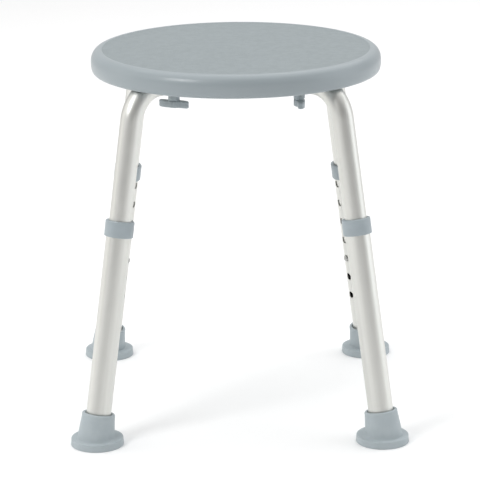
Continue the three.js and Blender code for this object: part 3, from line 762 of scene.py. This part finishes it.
def foot_tip():
    """The flange's rings about an upright axis, from the middle of the sole to the fillet, then
    the fillet's, then the socket's rings about the leg's axis, down its bore to the middle."""
    sole = [[0.0, TREAD_DEPTH]]
    for r in TREAD_RINGS:
        sole += [[r - 1.6, TREAD_DEPTH], [r - 1.2, 0.0], [r + 1.2, 0.0], [r + 1.6, TREAD_DEPTH]]
    sole += [[25.6, TREAD_DEPTH], [26.0, 0.0], [FLANGE_R - 0.5, 0.0]]
    side = [[FLANGE_R - 0.5, 0.0], [FLANGE_R, 0.5], [FLANGE_TOP, FLANGE_H], FILLET_START]
    flange = np.concatenate([sole, rounded(side, [0.3, 0.9])[1:]])
    socket = [
        (SOCKET_FOOT - 0.25, 13.0),
        (SOCKET_RIM + 0.1, SOCKET_TOP - 4.0),
        (SOCKET_RIM + 0.1, SOCKET_TOP),
        (16.0, SOCKET_TOP),
        (SOCKET_BORE, SOCKET_TOP - 3.1),
        (SOCKET_BORE, SOCKET_FLOOR),
        (0.0, SOCKET_FLOOR),
    ]
    socket = rounded(socket, [3.0, 1.7, 0.7, 1.5, 0.5])
    low, low_uv = turned(flange)
    low = low + [FLANGE_AXIS, 0, 0]
    corner = on_leg(turned([(SOCKET_FOOT + 0.1, 9.0)])[0], 0)
    corner[..., 2] = FILLET_START[1]
    high = on_leg(turned(socket)[0], 0)
    fillet = bend_between(low[-1], corner[0], high[0])
    place = np.concatenate([low, fillet[1:-1], high])
    around = np.broadcast_to(low_uv[:1, :, :1], (*place.shape[:2], 1))
    length = np.linspace(0, 110, len(place))[:, None, None]
    uv = np.concatenate([around, np.broadcast_to(length, around.shape)], -1)
    return place, uv


tips = []
for name, (azimuth, _) in LEGS.items():
    place, uv = foot_tip()
    node = "foot_tip_" + name
    sheet = (about_z(place, math.radians(azimuth)), uv)
    tips.append(make_piece(node + "_cup", [sheet], tip_rubber, "leg_" + name, [node]))
report("foot tips", tips)

# %% [markdown]
# ## Buttons and springs
#
# A steel button stands through the frame tube's hole and one of the leg's. Behind it, inside the
# tube, a strip of spring steel is bent to a V. Its near leaf pushes the button out, and its far
# leaf rests on the tube's other side. When the button is pressed, the near leaf goes with it and
# the far leaf stays. Here the strip is made once, in its place, and rides on no body.

# %% Buttons and springs
SKIRT_IN, SKIRT_OUT, SKIRT_R = 8.62, 9.62, 5.0
SHANK_R, CROWN, DOME = 3.6, 17.0, 2.2
SPRING_WIDTH, SPRING_THICK = 8.0, 0.8
NEAR_LEAF, FAR_LEAF = SKIRT_IN - 0.7, -9.66
LEAF_FOOT, LEAF_TOP = -4.0, 36.2
BEND_NEAR, BEND_FAR = 1.13, -2.87


def in_lock(points, twist, azimuth):
    """From the button's frame, X outwards along the button and Z up the leg, to the stool's."""
    return on_leg(about_z(points, math.pi + twist * HOLE_TWIST) + [0, 0, BUTTON_S], azimuth)


def strip(line, width, thickness):
    """A strip bent along a line in the XZ plane: a rectangle with rounded edges is carried on
    the line, with its thickness along the line's own normal."""
    way = np.gradient(line, axis=0)
    way /= np.linalg.norm(way, axis=1, keepdims=True)
    path = np.stack([line[:, 0], np.zeros(len(line)), line[:, 1]], -1)
    normal = np.stack([-way[:, 1], np.zeros(len(line)), way[:, 0]], -1)
    across = np.broadcast_to([0.0, 1.0, 0.0], path.shape)
    t, w, r = thickness / 2, width / 2, thickness / 4
    corners = [(0, -w), (t, -w), (t, w), (-t, w), (-t, -w), (0, -w)]
    section = rounded(corners, [r, r, r, r], steps=2)
    body = carry(path, normal, across, np.broadcast_to(section, (len(path), *section.shape)))
    uv = np.stack(np.broadcast_arrays(along(section)[None], along(line)[:, None]), -1)
    first = np.stack([np.broadcast_to(path[0], body[0].shape), body[0]])
    last = np.stack([body[-1], np.broadcast_to(path[-1], body[-1].shape)])
    return [(body, uv), (first, uv[:2]), (last, uv[:2])]


button_line = [
    (0, SKIRT_IN),
    (SKIRT_R, SKIRT_IN),
    (SKIRT_R, SKIRT_OUT),
    (SHANK_R, SKIRT_OUT),
    (SHANK_R, CROWN - DOME),
]
dome = np.linspace(0, math.pi / 2, 9)[1:]
dome = np.stack([SHANK_R * np.cos(dome) ** 0.8, CROWN - DOME + DOME * np.sin(dome)], -1)
button_line = np.concatenate([rounded(button_line, [0.2, 0.2, 0.2]), dome])

spring_line = [
    (NEAR_LEAF, LEAF_FOOT),
    (NEAR_LEAF, -LEAF_FOOT),
    (BEND_NEAR, LEAF_TOP),
    (BEND_FAR, LEAF_TOP),
    (FAR_LEAF, LEAF_FOOT),
]
spring_line = rounded(spring_line, [12.0, 1.9, 1.9], steps=8)
spring_line = np.concatenate([np.linspace(spring_line[0], spring_line[1], 4)[:-1], spring_line[1:]])

locks = []
for name, (azimuth, twist) in LEGS.items():
    place, uv = turned(button_line, 40)
    place = place[..., [2, 1, 0]] * [1, 1, -1]
    node = "snap_button_" + name
    sheet = (in_lock(place, twist, azimuth), uv)
    locks.append(make_piece(node + "_pin", [sheet], zinc_steel, "button_" + name, [node]))
    leaf = strip(spring_line, SPRING_WIDTH, SPRING_THICK)
    sheets = [(in_lock(place, twist, azimuth), uv) for place, uv in leaf]
    node = "snap_spring_" + name
    spring = make_piece(node + "_leaf", sheets, spring_metal, None, [node])
    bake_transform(spring)
    locks.append(spring)
report("buttons and springs", locks)

# %% [markdown]
# ## Screws and their handles
#
# Five screws go up through the frame tubes into brass inserts in the seat, and each is turned by
# a T-shaped handle, so the seat comes off without tools. The handle's outline is a squared oval,
# with its ends bowed to opposite sides, joined to a round hub. It is star-shaped: every ray from
# the middle crosses it once. So the whole handle is rings of points along the same rays, from
# the middle of its underside, round the wings' edges, in across their tops and up the hub.

# %% The T-handles' shape
HANDLES = {"front_left": -27, "front_right": 93, "back_left": 48, "back_right": -64, "centre": -29}
SCREW_FROM_BEND = 25.9
SCREW_REACH = ARM_END - SCREW_FROM_BEND
CORNERS = {"front_left": 225, "front_right": -45, "back_left": 135, "back_right": 45, "centre": 0}
HUB_R, WING_H, HANDLE_H = 6.6, 7.9, 15.0
WING_HALF, WING_HALF_WIDTH, SWAY = 18.5, 4.5, 1.3
SOCKET_R, SOCKET_DEEP = 3.3, 8.5
EDGE_ROUND = 1.3


def handle_outline(count=120):
    """The wings' outline: a squared oval 37 by 9 mm, moved sideways by 1.3 mm times the sine of
    pi times the share of the way out. Its distance from the middle is joined to the hub's by the
    twelfth root of the sum of twelfth powers, which leaves a small fillet where they meet."""
    angle = np.linspace(0, 2 * math.pi, count + 1)
    squared = lambda value: np.sign(value) * np.abs(value) ** 0.6
    out, side = squared(np.cos(angle)), squared(np.sin(angle))
    wing = np.stack([WING_HALF * out, WING_HALF_WIDTH * side + SWAY * np.sin(math.pi * out)], -1)
    reach = np.linalg.norm(wing, axis=1, keepdims=True)
    ray = wing / reach
    return ray, (reach**12 + HUB_R**12) ** (1 / 12)


def t_handle(top):
    """Rings along the outline's rays, each at one height: the underside, a quarter-circle edge
    at the wings' foot and another at their top, then inwards, up the hub and into its socket."""
    ray, reach = handle_outline()
    edge = ray * reach
    way = np.roll(edge[:-1], -1, 0) - np.roll(edge[:-1], 1, 0)
    way = np.concatenate([way, way[:1]])
    inward = np.stack([-way[:, 1], way[:, 0]], -1) / np.linalg.norm(way, axis=1, keepdims=True)
    bottom, wing_top = top - HANDLE_H, top - HANDLE_H + WING_H
    turn = np.linspace(0, math.pi / 2, 5)
    rows = [(edge * share, bottom) for share in (0.0, 0.5)]
    soft = [(EDGE_ROUND * (1 - math.sin(t)), EDGE_ROUND * (1 - math.cos(t))) for t in turn]
    rows += [(edge + inward * inset, bottom + rise) for inset, rise in soft]
    rows += [(edge + inward * inset, wing_top - drop) for drop, inset in soft]
    start, foot = rows[-1][0], ray * (HUB_R + 0.9)
    rows.append((np.where(reach > HUB_R + 2.5, start + (foot - start) * 0.5, start), wing_top))
    near = np.minimum(np.linalg.norm(start, axis=1, keepdims=True), HUB_R + 0.9)
    rows += [(ray * near, wing_top), (ray * np.minimum(near, HUB_R + 0.3), wing_top + 0.3)]
    rows += [(ray * np.minimum(near, HUB_R), wing_top + 1.0), (ray * HUB_R, wing_top + 1.6)]
    rows += [(ray * (HUB_R - r), top - z) for r, z in ((0, 0.8), (0.25, 0.2), (0.8, 0.0))]
    floor_z = top - SOCKET_DEEP
    mouth = ((SOCKET_R + 0.2, top), (SOCKET_R, top - 0.2), (SOCKET_R, floor_z), (0.0, floor_z))
    rows += [(ray * r, z) for r, z in mouth]
    flat = np.stack([row for row, _ in rows])
    height = np.array([z for _, z in rows])[:, None]
    place = np.stack([flat[..., 0], flat[..., 1], np.broadcast_to(height, flat.shape[:2])], -1)
    return place, flat.copy()


def at_screw(points, name):
    """From a screw's own axis to its place: turned with its handle, then moved out on a diagonal."""
    reach = 0.0 if name == "centre" else SCREW_REACH
    corner = math.radians(CORNERS[name])
    turned_place = about_z(points, math.radians(HANDLES[name]))
    return turned_place + [reach * math.cos(corner), reach * math.sin(corner), 0]


# %% Handles, studs, washers and inserts
THREAD_MEAN_R, HALF_CREST, THREAD_STEP = 2.73, 0.27, 0.125
WASHER_R, WASHER_HOLE, WASHER_THICK, WASHER_GAP = 7.5, 3.3, 1.2, 0.3
INSERT_R, INSERT_BORE, INSERT_LOW, INSERT_HIGH = 4.8, 3.1, 418.7, 427.0
STUD_TOP, STUD_IN_HUB = 426.0, 8.2


def thread(bottom, top):
    """An M6 screw: its radius is 2.73 mm plus 0.27 times the cosine of a turn for each
    millimetre up less the turn round, so that the crest climbs 1 mm per turn. It fades out and
    tapers at both ends."""
    z = np.linspace(bottom, top, int((top - bottom) / THREAD_STEP) + 1)[:, None]
    angle = np.linspace(0, 2 * math.pi, 29)[None]
    near_end = np.clip(np.minimum(z - bottom, top - z) / 1.2, 0, 1)
    crest = HALF_CREST * np.cos(2 * math.pi * z - angle)
    radius = THREAD_MEAN_R + crest * near_end - 0.8 * (1 - near_end)
    skin = np.stack(np.broadcast_arrays(radius * np.cos(angle), radius * np.sin(angle), z), -1)
    uv = np.stack(np.broadcast_arrays(angle * 3.0, z), -1)
    low = np.stack([np.broadcast_to([0, 0, skin[0, 0, 2]], skin[0].shape), skin[0]])
    high = np.stack([skin[-1], np.broadcast_to([0, 0, skin[-1, 0, 2]], skin[-1].shape)])
    return [(skin, uv), (low, uv[:2]), (high, uv[:2])]


def washer(outer, inner, bottom, top):
    """A rectangle with rounded corners, turned about the axis. It starts and ends half-way up
    the hole."""
    middle = (bottom + top) / 2
    corners = [
        (inner, middle),
        (inner, bottom),
        (outer, bottom),
        (outer, top),
        (inner, top),
        (inner, middle),
    ]
    return turned(rounded(corners, [0.2, 0.3, 0.3, 0.2], steps=3), 48)


screws = []
for name in HANDLES:
    tube_low = LOWER_FLAT_Z - FLAT_HEIGHT / 2 if name == "centre" else ARM_Z - FRAME_R
    washer_top = tube_low - WASHER_GAP
    washer_low = washer_top - WASHER_THICK
    top = washer_low - WASHER_GAP
    place, uv = t_handle(top)
    node = "t_handle_" + name
    sheet = (at_screw(place, name), uv)
    body = "handle_" + name
    screws.append(make_piece(node + "_grip", [sheet], handle_plastic, body, [node]))
    node = "screw_stud_" + name
    sheets = [(at_screw(place, name), uv) for place, uv in thread(top - STUD_IN_HUB, STUD_TOP)]
    screws.append(make_piece(node + "_thread", sheets, zinc_steel, body, [node]))
    node = "screw_washer_" + name
    place, uv = washer(WASHER_R, WASHER_HOLE, washer_low, washer_top)
    sheet = (at_screw(place, name), uv)
    screws.append(make_piece(node + "_disc", [sheet], yellow_steel, "clamp_" + name, [node]))
    node = "threaded_insert_" + name
    place, uv = washer(INSERT_R, INSERT_BORE, INSERT_LOW, INSERT_HIGH)
    sheet = (at_screw(place, name), uv)
    screws.append(make_piece(node + "_bush", [sheet], brass, "root", [node]))
report("screws", screws)

# %% [markdown]
# ## Washers in the tips
#
# A steel washer lies on the floor of each tip's socket, under the leg tube's cut end, which
# would otherwise punch through the rubber.

# %% Washers in the tips
TIP_WASHER = (14.3, 4.0, 9.8, 11.0)
discs = []
for name, (azimuth, _) in LEGS.items():
    node = "foot_washer_" + name
    sheets = lean([washer(*TIP_WASHER)], azimuth)
    discs.append(make_piece(node + "_disc", sheets, zinc_steel, "leg_" + name, [node]))
report("foot washers", discs)

# %% [markdown]
# ## The studio
#
# The stool stands on a plain white floor that runs on past the edge of the view. A wide soft
# light above lights the seat and the floor. A smaller one, high at the front left, draws the
# highlight on the rim. Two tall ones at the sides draw long highlights on the tubes. The sky is
# pale all round but dim at the front, where a studio is dark behind the camera, and that gives
# each tube the grey streak down its middle.

# %% Floor, lights and camera
def flat_light(name, place, aim, size, watts, colour):
    """A rectangular soft light at a place in metres, facing a point."""
    data = bpy.data.lights.new(name, "AREA")
    data.shape, data.size, data.size_y = "RECTANGLE", size[0], size[1]
    data.energy, data.color = watts, linear(colour)[:3]
    light = bpy.data.objects.new(name, data)
    bpy.context.scene.collection.objects.link(light)
    light.location = place
    way = np.array(place) - np.array(aim)
    light.rotation_euler = (
        math.atan2(math.hypot(way[0], way[1]), way[2]),
        0.0,
        math.atan2(way[1], way[0]) + math.pi / 2,
    )
    return light


floor_paint, tree, shader = new_material("white_studio_floor", Base_Color=linear("#ffffff"), Roughness=0.9)
floor_mesh = bpy.data.meshes.new("floor")
SIDE = 40.0
floor_corners = [(-SIDE, -SIDE, 0), (SIDE, -SIDE, 0), (SIDE, SIDE, 0), (-SIDE, SIDE, 0)]
floor_mesh.from_pydata(floor_corners, [], [(0, 1, 2, 3)])
floor_mesh.materials.append(floor_paint)
floor = bpy.data.objects.new("floor", floor_mesh)
bpy.context.scene.collection.objects.link(floor)

flat_light("overhead", (0.3, 1.1, 2.8), (0, 0.9, 0.0), (3.6, 5.0), 56.0, "#ffffff")
flat_light("key", (-1.7, -1.5, 2.1), (0, 0, 0.4), (0.9, 0.9), 24.0, "#ffffff")
flat_light("left", (-2.4, 0.3, 1.0), (0, 0, 0.3), (1.6, 2.0), 5.0, "#fffcf5")
flat_light("right", (2.2, -0.1, 0.9), (0, 0, 0.3), (1.6, 1.8), 9.0, "#f5faff")

world = bpy.data.worlds.new("studio")
bpy.context.scene.world = world
world.use_nodes = True
sky = world.node_tree
view_way = add(sky, "TexCoord").outputs["Generated"]
toward = add(sky, "SeparateXYZ", {0: view_way}).outputs["Y"]
shade = {"Value": toward, "From Min": -1.0, "From Max": -0.2, "To Min": 0.22, "To Max": 0.7}
glow = add(sky, "MapRange", shade, interpolation_type="SMOOTHSTEP").outputs[0]
sky.nodes["Background"].inputs["Color"].default_value = linear("#ffffff")
wire(sky, glow, sky.nodes["Background"].inputs["Strength"])

CAMERA_SIDE, CAMERA_DISTANCE, CAMERA_HEIGHT = -0.0169, 2.8, 0.98233
PITCH, PAN, ROLL = math.radians(15.6865), math.radians(-0.4073), math.radians(-0.472)
LENS = 182.19

camera_data = bpy.data.cameras.new("camera")
camera_data.lens, camera_data.sensor_width = LENS, 36.0
camera_data.clip_end = 100.0
camera = bpy.data.objects.new("camera", camera_data)
bpy.context.scene.collection.objects.link(camera)
camera.location = (CAMERA_SIDE, -CAMERA_DISTANCE, CAMERA_HEIGHT)
facing = Matrix.Rotation(PAN, 4, "Z") @ Matrix.Rotation(math.pi / 2 - PITCH, 4, "X")
camera.rotation_euler = (facing @ Matrix.Rotation(ROLL, 4, "Z")).to_euler()
bpy.context.scene.camera = camera
bpy.context.scene.view_settings.view_transform = "Standard"
